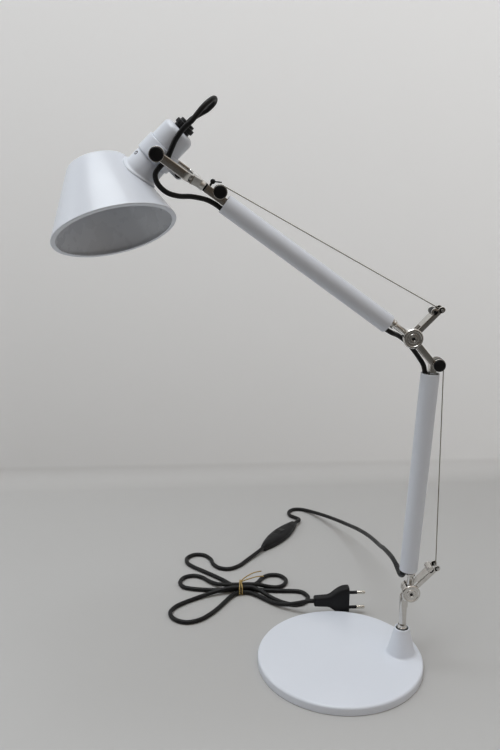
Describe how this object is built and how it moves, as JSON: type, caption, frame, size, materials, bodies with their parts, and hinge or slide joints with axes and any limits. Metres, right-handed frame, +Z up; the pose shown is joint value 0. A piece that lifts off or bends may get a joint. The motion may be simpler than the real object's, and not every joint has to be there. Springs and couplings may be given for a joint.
{
  "type": "desk lamp",
  "caption": "White desk lamp with two wire-balanced swing arms, a conical shade in a chrome fork, a round weighted base and a black mains cord with inline switch",
  "frame": {"origin": "centre of the base's underside, on the table", "axes": "+Z up, +X from the base's centre to the stem, +Y away from the viewer, to the mains cord"},
  "size_m": [0.3674, 0.4677, 0.5553],
  "materials": {
    "white_paint": "gloss",
    "weight_steel": "matt",
    "pad_rubber": "matt",
    "screw_steel": "satin",
    "black_plastic": "satin",
    "chrome": "polished",
    "inner_plastic": "matt",
    "spring_steel": "satin",
    "cord_sheath": "satin",
    "holder_white": "matt",
    "bulb_glass": "clear",
    "tie_tan": "matt"
  },
  "bodies": {
    "base": {"base_cover": "white_paint", "base_weight": "weight_steel", "base_pad": "pad_rubber", "base_screws": "screw_steel", "stem_bush": "black_plastic", "cord_lead": "cord_sheath", "switch_base": "black_plastic", "switch_cover": "black_plastic", "cord_run": "cord_sheath", "cord_hank": "cord_sheath", "cord_tie": "tie_tan", "cord_tail": "cord_sheath", "plug": "black_plastic"},
    "rocker": {"switch_rocker": "black_plastic"},
    "stem": {"stem_rod": "chrome", "stem_clevis": "chrome", "base_lever": "chrome", "base_anchor": "black_plastic", "lower_axle": "chrome", "lower_discs": "chrome"},
    "lower_arm": {"lower_foot": "chrome", "lower_tube": "white_paint", "lower_plugs": "inner_plastic", "elbow_bracket": "chrome", "lower_pulley_caps": "black_plastic", "lower_spring": "spring_steel", "elbow_lever": "chrome", "elbow_anchor": "black_plastic", "elbow_axle": "chrome", "elbow_discs": "chrome", "lower_tube_cord": "cord_sheath", "lower_wire": "spring_steel", "cord_relief": "cord_sheath", "elbow_cord": "cord_sheath"},
    "lower_pulley": {"lower_pulley": "inner_plastic"},
    "upper_arm": {"upper_foot": "chrome", "upper_tube": "white_paint", "upper_plugs": "inner_plastic", "head_bracket": "chrome", "upper_pulley_caps": "black_plastic", "upper_spring": "spring_steel", "wire_stop": "black_plastic", "upper_tube_cord": "cord_sheath", "swivel_washer": "black_plastic", "upper_wire": "spring_steel", "head_cord": "cord_sheath"},
    "upper_pulley": {"upper_pulley": "inner_plastic"},
    "fork": {"fork": "chrome", "fork_pins": "chrome", "fork_caps": "black_plastic", "gland_cord": "cord_sheath"},
    "head": {"head_ring": "white_paint", "ring_screw": "screw_steel", "rear_cap": "white_paint", "cord_gland": "black_plastic", "lampholder": "holder_white", "bulb": "bulb_glass"},
    "shade": {"shade": "white_paint", "shade_neck": "white_paint", "neck_screw": "screw_steel"}
  },
  "joints": [
    {"name": "base_swivel", "type": "hinge", "parent": "base", "child": "stem", "pos_m": [0.064, 0, 0.0378], "axis": [0, 0, 1], "range_deg": [-110, 110], "deforming": ["cord_lead"]},
    {"name": "lower_tilt", "type": "hinge", "parent": "stem", "child": "lower_arm", "pos_m": [0.069, 0, 0.081], "axis": [0, 1, 0], "range_deg": [-40, 10], "deforming": ["cord_relief", "lower_wire"]},
    {"name": "elbow", "type": "hinge", "parent": "lower_arm", "child": "upper_arm", "pos_m": [0.05683, 0, 0.34391], "axis": [0, -1, 0], "range_deg": [-50, 45], "deforming": ["elbow_cord", "upper_wire"]},
    {"name": "fork_roll", "type": "hinge", "parent": "upper_arm", "child": "fork", "pos_m": [-0.13343, 0, 0.47928], "axis": [-0.8111, 0, 0.585], "range_deg": [-80, 80], "deforming": ["head_cord"]},
    {"name": "head_tilt", "type": "hinge", "parent": "fork", "child": "head", "pos_m": [-0.17399, 0, 0.50853], "axis": [0.0408, 0.9976, 0.0566], "range_deg": [-20, 35], "deforming": ["gland_cord"]},
    {"name": "shade_turn", "type": "hinge", "parent": "head", "child": "shade", "pos_m": [-0.17985, 0.00056, 0.50283], "axis": [0.7155, -0.0687, 0.6952], "range_deg": [-90, 90]},
    {"name": "lower_pulley_spin", "type": "hinge", "parent": "lower_arm", "child": "lower_pulley", "pos_m": [0.08357, 0, 0.31757], "axis": [0, -1, 0], "range_deg": [-184, 46]},
    {"name": "upper_pulley_spin", "type": "hinge", "parent": "upper_arm", "child": "upper_pulley", "pos_m": [-0.12107, 0, 0.47591], "axis": [0, 1, 0], "range_deg": [-290, 261]},
    {"name": "switch_rock", "type": "hinge", "parent": "base", "child": "rocker", "pos_m": [-0.034, 0.288, 0.01014], "axis": [-0.8171, 0.5764, 0], "range_deg": [-7, 7]}
  ],
  "couplings": [
    {"joint": "lower_pulley_spin", "follows": "lower_tilt", "ratio": 4.6},
    {"joint": "upper_pulley_spin", "follows": "elbow", "ratio": 5.8}
  ]
}
